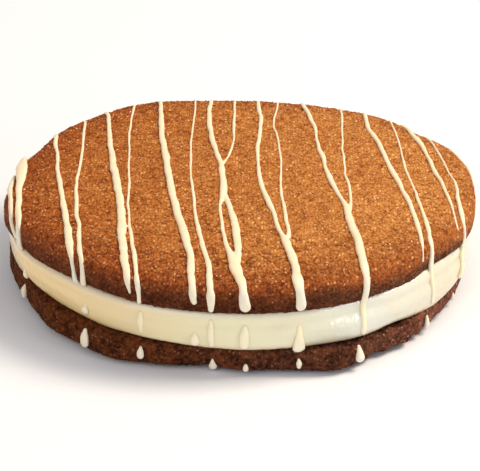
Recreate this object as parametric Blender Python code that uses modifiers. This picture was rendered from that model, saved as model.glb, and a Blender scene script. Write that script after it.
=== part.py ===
"""Gingerbread sandwich cookie: two round gingerbread biscuits with a thick layer of cream between them.

Metres, +Z up. The cookie rests on its lower biscuit, with the middle of its underside at the origin.
"""

import math

import bmesh
import bpy

MM = 0.001

# The whole cookie
OBJECT_NAME = "gingerbread_sandwich_cookie"
SECTORS = 96
LAYER_GAP = 0.3 * MM
MERGE_DISTANCE = 0.01 * MM
WHOLE_TURN = 360.0

# Heights of the layers at the middle of the cookie
LOWER_FACE_HEIGHT = 4.9 * MM
LOWER_FACE_SLOPE = -0.026
UPPER_UNDERSIDE_HEIGHT = 11.5 * MM
UPPER_SHOULDER_HEIGHT = 16.6 * MM
UPPER_CROWN_RISE = 0.9 * MM

# Upper biscuit: a cut round, baked flat side down, with a soft shoulder all round
UPPER_RADIUS = 41.7 * MM
UPPER_SHOULDER_IN = 2.0 * MM
UPPER_SHOULDER_DOWN = 1.7 * MM
UPPER_FOOT_IN = 0.6 * MM
UPPER_FOOT_UP = 1.0 * MM

# Lower biscuit: the same round turned over, so that its soft shoulder is underneath
LOWER_RADIUS = 41.2 * MM
LOWER_FLAT_RADIUS = 32.0 * MM
LOWER_UNDERSIDE_LIFT = 0.45 * MM
LOWER_SHOULDER_IN = 1.6 * MM
LOWER_SHOULDER_UP = 1.5 * MM
LOWER_EDGE_IN = 0.6 * MM
LOWER_EDGE_DOWN = 0.9 * MM

# Cream: pressed out between the biscuits until it bulges level with their edges
CREAM_RADIUS = 41.3 * MM
CREAM_BULGE = 0.45 * MM
CREAM_TOP_CORNER = 0.9 * MM
CREAM_FOOT_CORNER = 0.5 * MM

# Where each hand-cut edge strays from a true round: direction in degrees from +X,
# how far out (or in, below zero) in metres, and how wide in degrees
UPPER_DENTS = (
    (158.0, -1.4 * MM, 10.0),
    (120.0, 1.8 * MM, 18.0),
    (84.0, -2.4 * MM, 26.0),
    (52.0, 0.6 * MM, 12.0),
    (37.0, -1.0 * MM, 9.0),
    (-37.0, -1.3 * MM, 11.0),
    (-82.0, 0.5 * MM, 28.0),
    (-138.0, -1.1 * MM, 16.0),
)
LOWER_DENTS = (
    (150.0, -0.8 * MM, 15.0),
    (105.0, 1.0 * MM, 18.0),
    (62.0, -1.0 * MM, 16.0),
    (-22.0, -1.6 * MM, 16.0),
    (-47.0, 0.7 * MM, 7.0),
    (-68.0, 2.5 * MM, 9.0),
    (-100.0, -0.9 * MM, 9.0),
    (-122.0, 1.1 * MM, 12.0),
    (-160.0, -0.8 * MM, 10.0),
)
CREAM_DENTS = (
    (158.0, -1.2 * MM, 12.0),
    (84.0, -2.0 * MM, 28.0),
    (37.0, -1.0 * MM, 10.0),
    (-37.0, -0.9 * MM, 12.0),
    (-138.0, -1.2 * MM, 18.0),
)

# Where the rim of the lower biscuit curls up, on its underside and on its face, in the same terms
UNDERSIDE_CURLS = (
    (-22.0, 0.6 * MM, 24.0),
    (178.0, 0.5 * MM, 24.0),
)
FACE_CURLS = (
    (-25.0, 0.3 * MM, 30.0),
    (-170.0, 0.9 * MM, 24.0),
)

# The baked top isn't level: a few long, low swells
SWELLS = (
    (0.16 * MM, 47.0 * MM, 20.0),
    (0.12 * MM, 29.0 * MM, 110.0),
    (0.08 * MM, 19.0 * MM, 65.0),
)

# Share of the radius at which the rings of a broad face lie
CROWN_RINGS = (0.22, 0.42, 0.60, 0.76, 0.89)
HIDDEN_RINGS = (0.60, 0.82)
UNDERSIDE_RINGS = (0.75, 0.50, 0.25)
ARC_STEPS = 4

# Colours of the finishes, as linear red, green and blue
CRUST_COLOUR = (0.50, 0.18, 0.05, 1.0)
DARK_CRUST_COLOUR = (0.09, 0.03, 0.015, 1.0)
CREAM_COLOUR = (0.80, 0.70, 0.48, 1.0)
CRUST_ROUGHNESS = 0.85
CREAM_ROUGHNESS = 0.40


def clear_scene():
    for obj in list(bpy.data.objects):
        bpy.data.objects.remove(obj, do_unlink=True)


def new_collection():
    collection = bpy.data.collections.new(OBJECT_NAME)
    bpy.context.scene.collection.children.link(collection)
    return collection


def new_material(name, colour, roughness):
    material = bpy.data.materials.new(name)
    material.use_nodes = True
    shader = material.node_tree.nodes["Principled BSDF"]
    shader.inputs["Base Color"].default_value = colour
    shader.inputs["Roughness"].default_value = roughness
    shader.inputs["Metallic"].default_value = 0.0
    material.diffuse_color = colour
    return material


def corner_arc(centre_x, centre_z, across, up, first, last):
    """Points of a quarter ellipse, from one angle to another in degrees, where 0 is outwards and 90 is up."""
    points = []
    for step in range(ARC_STEPS + 1):
        angle = math.radians(first + (last - first) * step / ARC_STEPS)
        points.append((centre_x + across * math.cos(angle), centre_z + up * math.sin(angle)))
    return points


def upper_profile():
    """Half section of the upper biscuit, from the crown down the outside to the middle of its underside."""
    shoulder_radius = UPPER_RADIUS - UPPER_SHOULDER_IN
    points = [(0.0, UPPER_SHOULDER_HEIGHT)]
    points += [(shoulder_radius * share, UPPER_SHOULDER_HEIGHT) for share in CROWN_RINGS]
    points += corner_arc(
        shoulder_radius,
        UPPER_SHOULDER_HEIGHT - UPPER_SHOULDER_DOWN,
        UPPER_SHOULDER_IN,
        UPPER_SHOULDER_DOWN,
        90.0,
        0.0,
    )
    points += corner_arc(
        UPPER_RADIUS - UPPER_FOOT_IN,
        UPPER_UNDERSIDE_HEIGHT + UPPER_FOOT_UP,
        UPPER_FOOT_IN,
        UPPER_FOOT_UP,
        0.0,
        -90.0,
    )
    points.append((0.0, UPPER_UNDERSIDE_HEIGHT))
    return points


def lower_profile():
    """Half section of the lower biscuit, from its level top face round the edge to its flat resting face."""
    shoulder_radius = LOWER_RADIUS - LOWER_SHOULDER_IN
    points = [(0.0, LOWER_FACE_HEIGHT)]
    points += [(LOWER_RADIUS * share, LOWER_FACE_HEIGHT) for share in HIDDEN_RINGS]
    points += corner_arc(
        LOWER_RADIUS - LOWER_EDGE_IN,
        LOWER_FACE_HEIGHT - LOWER_EDGE_DOWN,
        LOWER_EDGE_IN,
        LOWER_EDGE_DOWN,
        90.0,
        0.0,
    )
    points += corner_arc(
        shoulder_radius,
        LOWER_UNDERSIDE_LIFT + LOWER_SHOULDER_UP,
        LOWER_SHOULDER_IN,
        LOWER_SHOULDER_UP,
        0.0,
        -90.0,
    )
    rise_run = shoulder_radius - LOWER_FLAT_RADIUS
    for share in UNDERSIDE_RINGS:
        points.append((LOWER_FLAT_RADIUS + rise_run * share, LOWER_UNDERSIDE_LIFT * share * share))
    points.append((LOWER_FLAT_RADIUS, 0.0))
    points.append((0.0, 0.0))
    return points


def cream_profile():
    """Half section of the cream, whose side bulges between two soft corners."""
    low = LOWER_FACE_HEIGHT + LAYER_GAP
    high = UPPER_UNDERSIDE_HEIGHT - LAYER_GAP
    top = CREAM_TOP_CORNER
    foot = CREAM_FOOT_CORNER
    points = [(0.0, high)]
    points += corner_arc(CREAM_RADIUS - top, high - top, top, top, 90.0, 0.0)
    points.append((CREAM_RADIUS + CREAM_BULGE, (low + high) / 2))
    points += corner_arc(CREAM_RADIUS - foot, low + foot, foot, foot, 0.0, -90.0)
    points += [(CREAM_RADIUS * share, low) for share in reversed(HIDDEN_RINGS)]
    points.append((0.0, low))
    return points


def turned_mesh(name, profile, collection):
    """The profile spun once round the upright axis, as one closed mesh."""
    mesh = bpy.data.meshes.new(name + "_profile")
    outline = bmesh.new()
    previous = None
    for x, z in profile:
        corner = outline.verts.new((x, 0.0, z))
        if previous is not None:
            outline.edges.new((previous, corner))
        previous = corner
    outline.to_mesh(mesh)
    outline.free()
    profile_object = bpy.data.objects.new(name + "_profile", mesh)
    collection.objects.link(profile_object)
    screw = profile_object.modifiers.new("Turn", "SCREW")
    screw.axis = "Z"
    screw.angle = math.radians(WHOLE_TURN)
    screw.steps = SECTORS
    screw.render_steps = SECTORS
    screw.use_merge_vertices = True
    screw.merge_threshold = MERGE_DISTANCE
    graph = bpy.context.evaluated_depsgraph_get()
    turned = bpy.data.meshes.new_from_object(profile_object.evaluated_get(graph))
    turned.name = name
    bpy.data.objects.remove(profile_object, do_unlink=True)
    bpy.data.meshes.remove(mesh)
    return turned


def stray(dents, direction):
    """How far the edge lies outside its true round in this direction."""
    total = 0.0
    half_turn = WHOLE_TURN / 2
    for middle, reach, width in dents:
        away = (direction - middle + half_turn) % WHOLE_TURN - half_turn
        total += reach * math.exp(-((away / width) ** 2))
    return total


def dent_edge(mesh, radius, dents):
    """Draws each point in or out along its own radius, so that the round follows its uneven edge."""
    for vertex in mesh.vertices:
        direction = math.degrees(math.atan2(vertex.co.y, vertex.co.x))
        share = 1.0 + stray(dents, direction) / radius
        vertex.co.x *= share
        vertex.co.y *= share


def swell(x, y):
    """Height of the long, low swells of the baked top."""
    height = 0.0
    for size, length, heading in SWELLS:
        along = x * math.cos(math.radians(heading)) + y * math.sin(math.radians(heading))
        height += size * math.sin(2 * math.pi * along / length)
    return height


def crown(mesh):
    """Raises the upper biscuit's top into a low dome with swells, and leaves its underside level."""
    edge_height = UPPER_SHOULDER_HEIGHT - UPPER_UNDERSIDE_HEIGHT
    for vertex in mesh.vertices:
        share_up = max(0.0, (vertex.co.z - UPPER_UNDERSIDE_HEIGHT) / edge_height)
        share_out = min(1.0, math.hypot(vertex.co.x, vertex.co.y) / UPPER_RADIUS)
        dome = UPPER_CROWN_RISE * (1.0 - share_out**2)
        vertex.co.z += share_up * (dome + swell(vertex.co.x, vertex.co.y))


def curl(curls, x, y, radius):
    """How far a rim curls up at this place: nothing over the flat middle, and most at the edge."""
    share_out = (math.hypot(x, y) - LOWER_FLAT_RADIUS) / (radius - LOWER_FLAT_RADIUS)
    share_out = min(1.0, max(0.0, share_out))
    return share_out**2 * stray(curls, math.degrees(math.atan2(y, x)))


def face_rise(x, y):
    """Height of the lower biscuit's face above its height at the middle: a taper and a curled rim."""
    return LOWER_FACE_SLOPE * x + curl(FACE_CURLS, x, y, CREAM_RADIUS)


def shape_lower_faces(mesh):
    """Gives the lower biscuit its tapered face above and its curled rim below."""
    for vertex in mesh.vertices:
        x, y, z = vertex.co
        share_up = z / LOWER_FACE_HEIGHT
        underside_rise = curl(UNDERSIDE_CURLS, x, y, LOWER_RADIUS)
        vertex.co.z += share_up * face_rise(x, y) + (1.0 - share_up) * underside_rise


def shape_cream_foot(mesh):
    """Carries the foot of the cream down to the face below it, and leaves its top level."""
    high = UPPER_UNDERSIDE_HEIGHT - LAYER_GAP
    height = high - LOWER_FACE_HEIGHT - LAYER_GAP
    for vertex in mesh.vertices:
        share_down = (high - vertex.co.z) / height
        vertex.co.z += share_down * face_rise(vertex.co.x, vertex.co.y)


def place(name, mesh, material, collection):
    mesh.materials.clear()
    mesh.materials.append(material)
    mesh.shade_smooth()
    obj = bpy.data.objects.new(name, mesh)
    collection.objects.link(obj)
    return obj


def make_lower_biscuit(collection):
    mesh = turned_mesh("bottom_biscuit", lower_profile(), collection)
    shape_lower_faces(mesh)
    dent_edge(mesh, LOWER_RADIUS, LOWER_DENTS)
    dark_crust = new_material("dark_gingerbread_crust", DARK_CRUST_COLOUR, CRUST_ROUGHNESS)
    place("bottom_biscuit", mesh, dark_crust, collection)


def make_cream(collection):
    mesh = turned_mesh("cream_filling", cream_profile(), collection)
    shape_cream_foot(mesh)
    dent_edge(mesh, CREAM_RADIUS, CREAM_DENTS)
    cream = new_material("whipped_cream_filling", CREAM_COLOUR, CREAM_ROUGHNESS)
    place("cream_filling", mesh, cream, collection)


def make_upper_biscuit(collection):
    mesh = turned_mesh("top_biscuit", upper_profile(), collection)
    dent_edge(mesh, UPPER_RADIUS, UPPER_DENTS)
    crown(mesh)
    crust = new_material("gingerbread_crust", CRUST_COLOUR, CRUST_ROUGHNESS)
    place("top_biscuit", mesh, crust, collection)


clear_scene()
cookie = new_collection()
make_lower_biscuit(cookie)
make_cream(cookie)
make_upper_biscuit(cookie)
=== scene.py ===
"""A round gingerbread sandwich cookie: two spiced biscuits, a layer of cream and white icing."""

import math
import random

import bmesh
import bpy
import numpy as np
from mathutils import Matrix, Vector, noise
from mathutils.bvhtree import BVHTree


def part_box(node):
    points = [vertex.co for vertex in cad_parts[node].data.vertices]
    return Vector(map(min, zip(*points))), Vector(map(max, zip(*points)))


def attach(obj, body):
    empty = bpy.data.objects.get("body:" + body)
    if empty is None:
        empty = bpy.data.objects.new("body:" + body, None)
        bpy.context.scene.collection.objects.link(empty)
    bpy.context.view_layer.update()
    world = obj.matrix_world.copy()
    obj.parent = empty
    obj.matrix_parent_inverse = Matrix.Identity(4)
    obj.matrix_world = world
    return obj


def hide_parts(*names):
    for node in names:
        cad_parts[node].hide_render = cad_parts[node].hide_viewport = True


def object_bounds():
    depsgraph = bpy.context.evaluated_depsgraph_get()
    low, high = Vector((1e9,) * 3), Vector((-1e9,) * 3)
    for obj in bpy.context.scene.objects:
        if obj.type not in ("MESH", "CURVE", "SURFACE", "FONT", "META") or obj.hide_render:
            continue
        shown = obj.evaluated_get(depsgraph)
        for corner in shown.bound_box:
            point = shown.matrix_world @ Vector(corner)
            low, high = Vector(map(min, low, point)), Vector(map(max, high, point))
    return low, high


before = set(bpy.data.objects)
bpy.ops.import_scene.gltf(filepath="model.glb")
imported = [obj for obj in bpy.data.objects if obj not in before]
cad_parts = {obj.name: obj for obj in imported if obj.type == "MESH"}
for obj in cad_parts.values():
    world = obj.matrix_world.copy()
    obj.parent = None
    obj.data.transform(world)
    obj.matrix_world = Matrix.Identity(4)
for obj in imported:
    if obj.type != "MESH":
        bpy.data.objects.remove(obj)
cad_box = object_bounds()

# ---------------------------------------------------------------------------------------------
# Camera. A long lens at arm's length looks a little down on the front edge, so that the drizzled
# top shows as a flat oval over the dark edge, the cream and the lower biscuit.

MM = 0.001
camera_height_angle = math.radians(25.1)
camera_distance = 430 * MM
# The middle of the view is a little above a third of the cookie's height.
aim_share = 0.354
aim = Vector((0, 0, cad_box[0].z + aim_share * (cad_box[1].z - cad_box[0].z)))
toward_camera = Vector((0, -math.cos(camera_height_angle), math.sin(camera_height_angle)))
camera_data = bpy.data.cameras.new("camera")
camera_data.lens = 180
camera_data.sensor_width = 36
camera_data.clip_start = 10 * MM
camera = bpy.data.objects.new("camera", camera_data)
camera.location = aim + camera_distance * toward_camera
camera.rotation_euler = (math.pi / 2 - camera_height_angle, 0, 0)
bpy.context.scene.collection.objects.link(camera)
bpy.context.scene.camera = camera
bpy.context.scene.view_settings.view_transform = "Standard"


# ---------------------------------------------------------------------------------------------
# Table and light. A plain sheet of matt white card, lit by a large soft window light from the right,
# a weaker one from the left and two low ones at the front right, with a pale room all round.


def linear(hex_colour):
    """An sRGB hex colour as the linear RGBA that Blender takes."""
    shares = [int(hex_colour[k:k + 2], 16) / 255 for k in (1, 3, 5)]
    return tuple(c / 12.92 if c < 0.04045 else ((c + 0.055) / 1.055) ** 2.4 for c in shares) + (1,)


def new_material(name):
    """An empty node material with its surface shader, which is returned too."""
    material = bpy.data.materials.new(name)
    material.use_nodes = True
    return material, material.node_tree.nodes["Principled BSDF"]


def set_inputs(node, inputs):
    """Gives each input its value, or links it to the socket that feeds it."""
    for key, value in inputs.items():
        if isinstance(value, bpy.types.NodeSocket):
            node.id_data.links.new(value, node.inputs[key])
        else:
            node.inputs[key].default_value = value


def add_node(material, kind, inputs=None, output=None, **settings):
    """Adds one node with its settings and inputs. Returns the node, or the output that is named."""
    node = material.node_tree.nodes.new(kind)
    for name, value in settings.items():
        setattr(node, name, value)
    set_inputs(node, inputs or {})
    return node if output is None else node.outputs[output]


def finished(name, mesh, material):
    """Puts a finished mesh in the scene at the origin, with smooth shading and its material."""
    mesh.name = name
    mesh.materials.clear()
    mesh.materials.append(material)
    mesh.shade_smooth()
    piece = bpy.data.objects.new(name, mesh)
    bpy.context.scene.collection.objects.link(piece)
    return piece


# Uncoated white card, pressed smooth: it gives back soft light all round, with next to no gloss.
CARD_HALF_SIDE = 2.5
CARD_GAP = 0.02 * MM
card, card_shader = new_material("matt_white_card")
set_inputs(card_shader, {"Base Color": linear("#EEF2FC"), "Roughness": 0.9, "Specular IOR Level": 0.1})
sheet = bmesh.new()
bmesh.ops.create_grid(sheet, x_segments=1, y_segments=1, size=CARD_HALF_SIDE)
bmesh.ops.translate(sheet, vec=(0, 0, cad_box[0].z - CARD_GAP), verts=sheet.verts)
table_mesh = bpy.data.meshes.new("table")
sheet.to_mesh(table_mesh)
sheet.free()
table = finished("table", table_mesh, card)

world = bpy.data.worlds.new("pale_room")
bpy.context.scene.world = world
world.use_nodes = True
set_inputs(world.node_tree.nodes["Background"], {"Color": linear("#F6F4F1"), "Strength": 0.49})

# Each light's place, width and height are in metres, and its power in watts.
for light_name, place, wide, high, power, colour in (
    ("window", (0.62, 0.12, 0.76), 0.42, 0.42, 9.4, "#FFEFD6"),
    ("fill", (-0.5, -0.72, 0.5), 0.8, 0.8, 3.0, "#FFF1E2"),
    ("low_window", (0.465, -0.385, 0.075), 0.12, 0.06, 0.33, "#FFFFFF"),
    ("low_window_upper", (0.465, -0.385, 0.25), 0.12, 0.1, 0.32, "#FFFFFF"),
):
    light = bpy.data.lights.new(light_name, "AREA")
    light.shape = "RECTANGLE"
    light.size = wide
    light.size_y = high
    light.energy = power
    light.color = linear(colour)[:3]
    lamp = bpy.data.objects.new(light_name, light)
    lamp.location = place
    lamp.rotation_euler = (aim - Vector(place)).to_track_quat("-Z", "Y").to_euler()
    bpy.context.scene.collection.objects.link(lamp)


# ---------------------------------------------------------------------------------------------
# Lower biscuit. A disc of dark gingerbread, rolled, cut and baked until its rim is nearly
# chocolate brown. Its edge is crumbly and its foot lumpy, where the dough spread on the tray.

CRUST_VOXEL = 0.29 * MM
CRUST_SMOOTHING = 2
# The layers hide each other's flat faces as far out as this.
HIDDEN_RADIUS = 38 * MM
# An uneven edge takes shape from this far out, more and more over the next millimetres.
WALL_START = 30 * MM
WALL_BLEND = 8 * MM
# Rays that look for the surface start this far out.
CLEAR_OF_ALL = 60 * MM


def copied(node):
    """A bmesh of a CAD node with its loose triangles joined."""
    bm = bmesh.new()
    bm.from_mesh(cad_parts[node].data)
    bmesh.ops.remove_doubles(bm, verts=bm.verts, dist=0.001 * MM)
    return bm


def remeshed(bm, voxel, smoothing):
    """Turns closed shapes into one skin of even little squares; the bmesh is used up."""
    rough = bpy.data.meshes.new("rough")
    bm.to_mesh(rough)
    bm.free()
    holder = bpy.data.objects.new("rough", rough)
    bpy.context.scene.collection.objects.link(holder)
    skin = holder.modifiers.new("skin", "REMESH")
    skin.mode = "VOXEL"
    skin.voxel_size = voxel
    relax = holder.modifiers.new("relax", "SMOOTH")
    relax.factor = 0.5
    relax.iterations = smoothing
    shaped = holder.evaluated_get(bpy.context.evaluated_depsgraph_get())
    mesh = bpy.data.meshes.new_from_object(shaped)
    bpy.data.objects.remove(holder)
    bpy.data.meshes.remove(rough)
    return mesh


def points_of(mesh):
    """The vertices of a mesh as rows of metres, and their normals."""
    places = np.zeros(len(mesh.vertices) * 3, np.float32)
    normals = np.zeros(len(mesh.vertices) * 3, np.float32)
    mesh.vertices.foreach_get("co", places)
    mesh.vertex_normals.foreach_get("vector", normals)
    return places.reshape(-1, 3).astype(float), normals.reshape(-1, 3).astype(float)


def polar(places):
    """Each point's direction and its distance from the middle, seen from above."""
    return np.arctan2(places[:, 1], places[:, 0]), np.hypot(places[:, 0], places[:, 1])


def move_points(mesh, places):
    mesh.vertices.foreach_set("co", places.astype(np.float32).ravel())
    mesh.update()


def keep_value(mesh, name, values):
    """Stores one number a vertex, for the material to read."""
    mesh.attributes.new(name, "FLOAT", "POINT").data.foreach_set("value", values.astype(np.float32))


def outline_of(node, height):
    """How far a CAD layer reaches in each direction at a height, as a function of the angle."""
    bm = copied(node)
    tree = BVHTree.FromBMesh(bm)
    bm.free()
    angles = np.radians(np.arange(0, 361, 1.0))
    reach = []
    for angle in angles:
        outward = Vector((math.cos(angle), math.sin(angle), 0))
        start = CLEAR_OF_ALL * outward + Vector((0, 0, height))
        reach.append(CLEAR_OF_ALL - tree.ray_cast(start, -outward)[3])
    return lambda angle: np.interp(np.mod(angle, 2 * math.pi), angles, reach)


def close_hidden(mesh, ways):
    """Cuts away the inside of each face that another layer covers, and closes it with one flat cap.
    The ways are 1 for the upper face and -1 for the lower one."""
    bm = bmesh.new()
    bm.from_mesh(mesh)
    middle_height = sum(v.co.z for v in bm.verts) / len(bm.verts)
    covered = []
    for face in bm.faces:
        centre = face.calc_center_median()
        flat = any(way * face.normal.z > 0.5 for way in ways)
        if flat and math.hypot(centre.x, centre.y) < HIDDEN_RADIUS:
            covered.append(face)
    bmesh.ops.delete(bm, geom=covered, context="FACES")
    for way in ways:
        rim = [e for e in bm.edges if e.is_boundary and way * (e.verts[0].co.z - middle_height) > 0]
        bmesh.ops.contextual_create(bm, geom=rim)
    bmesh.ops.recalc_face_normals(bm, faces=bm.faces)
    bm.to_mesh(mesh)
    bm.free()


def unroll(mesh, outline, shoulder, way):
    """Lays the skin out flat for baking: the first face in the middle, the wall and the far face as
    rings round it, and the closing cap in a corner."""
    places, normals = points_of(mesh)
    angle, reach = polar(places)
    depth = np.maximum((shoulder - places[:, 2]) * way, 0)
    far = normals[:, 2] * way < -0.5
    laid_out = np.where(far, 2 * outline(angle) - reach, reach) + depth
    flat = np.stack([laid_out * np.cos(angle), laid_out * np.sin(angle)], 1)
    flat = 0.5 + 0.49 * flat / laid_out.max()
    corners = np.zeros(len(mesh.loops), np.int32)
    mesh.loops.foreach_get("vertex_index", corners)
    laid = flat[corners]
    for face in mesh.polygons:
        if len(face.vertices) > 20:
            span = slice(face.loop_start, face.loop_start + face.loop_total)
            inner = places[corners[span], :2] / (2 * HIDDEN_RADIUS)
            laid[span] = 0.07 + 0.1 * inner
    layer = mesh.uv_layers.new(name="OFBake")
    layer.data.foreach_set("uv", laid.astype(np.float32).ravel())


def strayed(angle, bumps):
    """How far a rim strays from its outline: each bump is a direction and a reach round the rim, in
    degrees, and how far it stands out, in millimetres."""
    total = 0.0
    for direction, reach, height in bumps:
        off = np.mod(np.degrees(angle) - direction + 180, 360) - 180
        total = total + height * np.exp(-(off / reach) ** 2)
    return total * MM


def crumb(place, size):
    """A bumpy value from about -1 to 1: rounded crumbs of that size with creases between them."""
    near = noise.voronoi(place / size, distance_metric="DISTANCE")[0]
    return 1.1 - 2.2 * near[0] - 0.5 * max(0, 0.35 - (near[1] - near[0])) / 0.35


def crumbly(mesh, coarseness_at):
    """Roughens a skin, and keeps how high each point stands, from about -1 to 1. Coarseness goes from
    0, fine sandy crumbs, to 1, the broken crumbs and cracks of a rim. The cut wall is calmer, and the
    rolling pin drew the crumbs out a little from front to back."""
    places, normals = points_of(mesh)
    rise = np.zeros(len(places))
    height = np.zeros(len(places))
    for k, (place, normal) in enumerate(zip(places, normals)):
        spot = Vector(place) / MM
        coarse = coarseness_at(spot, normal)
        rolled = Vector((1.35 * spot.x, spot.y, 1.35 * spot.z))
        # Widths in millimetres: sand 0.5, crumbs 1.0 and 1.25, swellings 1.0 and 2.1, pits 1.4.
        sand = noise.noise(rolled / 0.5)
        fine = 0.7 * crumb(rolled, 1.0) + 0.5 * sand
        broad = noise.noise(rolled / 2.1) + 0.5 * noise.noise(rolled / 1.0 + Vector((7, 3, 1)))
        pit = max(0, noise.noise(rolled / 1.4 + Vector((31, 5, 17))) - 0.3)
        torn = rolled + 0.45 * noise.noise_vector(rolled / 0.9)
        lumps = 0.7 * crumb(torn, 1.25) + 0.35 * fine + 0.3 * broad - 1.5 * pit
        sandy = 0.6 * fine + 0.45 * broad - 2.2 * pit
        calm = 0.5 + 0.5 * min(1, 1.4 * abs(normal[2]))
        rise[k] = calm * (sandy + coarse * (lumps - sandy))
        height[k] = 0.17 * rise[k] + 0.04 * sand - 0.03
    keep_value(mesh, "relief", rise)
    return places + normals * height[:, None] * MM


# The broken crumbs fall the same way on every run.
noise.seed_set(11)
lower_mesh = remeshed(copied("bottom_biscuit"), CRUST_VOXEL, CRUST_SMOOTHING)
lower_low, lower_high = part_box("bottom_biscuit")
lower_outline = outline_of("bottom_biscuit", 2.5 * MM)
# The foot spread unevenly on the tray, and the right end was cut a little short.
foot_bumps = ((-166, 8, 0.4), (-140, 6, 1.1), (-121, 8, 0.75), (-106, 6, 0.4), (-88, 8, 0.35),
              (-67, 6, 0.7), (-56, 6, 0.55), (-44, 7, 0.5), (-23, 12, 0.8), (60, 40, 0.3), (140, 30, 0.3),
              (-153, 3, 0.35), (-98, 2.4, -1.0), (-57.5, 1.8, -0.8), (-47.5, 1.3, 0.5), (-45, 1.3, -1.0),
              (-40.5, 1.6, -0.7))
lower_edge_bumps = ((4, 17, -1.1),)
lower_places = points_of(lower_mesh)[0]
lower_angle, lower_reach = polar(lower_places)
near_wall = np.clip((lower_reach - WALL_START) / WALL_BLEND, 0, 1)
tall = np.clip((lower_places[:, 2] - lower_low.z) / (lower_high.z - lower_low.z), 0, 1)
grown = strayed(lower_angle, foot_bumps) * (1 - 0.6 * tall) + strayed(lower_angle, lower_edge_bumps)
lower_places[:, :2] *= (1 + grown * near_wall / np.maximum(lower_reach, MM))[:, None]
move_points(lower_mesh, lower_places)
smooth_lower = lower_mesh.copy()


def lower_coarseness(spot, normal):
    return 0.35 if normal[2] > -0.7 else 0.1


lower_places = crumbly(lower_mesh, lower_coarseness)
# The wall is uneven, in lumps 4 and 2 mm wide, most of all at its foot, which lifts in places.
for k, place in enumerate(lower_places):
    spot = Vector(place) / MM
    foot = max(0, 1 - spot.z / 4.5)
    outward = Vector((spot.x, spot.y, 0)).normalized()
    wall = min(1, max(0, (math.hypot(spot.x, spot.y) - 36) / 4))
    lump = noise.noise(Vector((spot.x, spot.y, 0.6 * spot.z)) / 4.2) + 0.5 * noise.noise(spot / 2.3)
    lower_places[k] += np.array(outward) * 0.3 * lump * wall * (0.5 + 0.5 * foot) * MM
    drop = noise.noise(Vector((spot.x, spot.y, 0)) / 3.4 + Vector((3, 9, 2)))
    lower_places[k][2] += 0.25 * max(0, drop) * wall * foot * MM
lower_places[:, 2] = np.maximum(lower_places[:, 2], lower_low.z)
move_points(lower_mesh, lower_places)
close_hidden(lower_mesh, ways=(1,))
unroll(lower_mesh, lower_outline, shoulder=0.6 * MM, way=-1)


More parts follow.
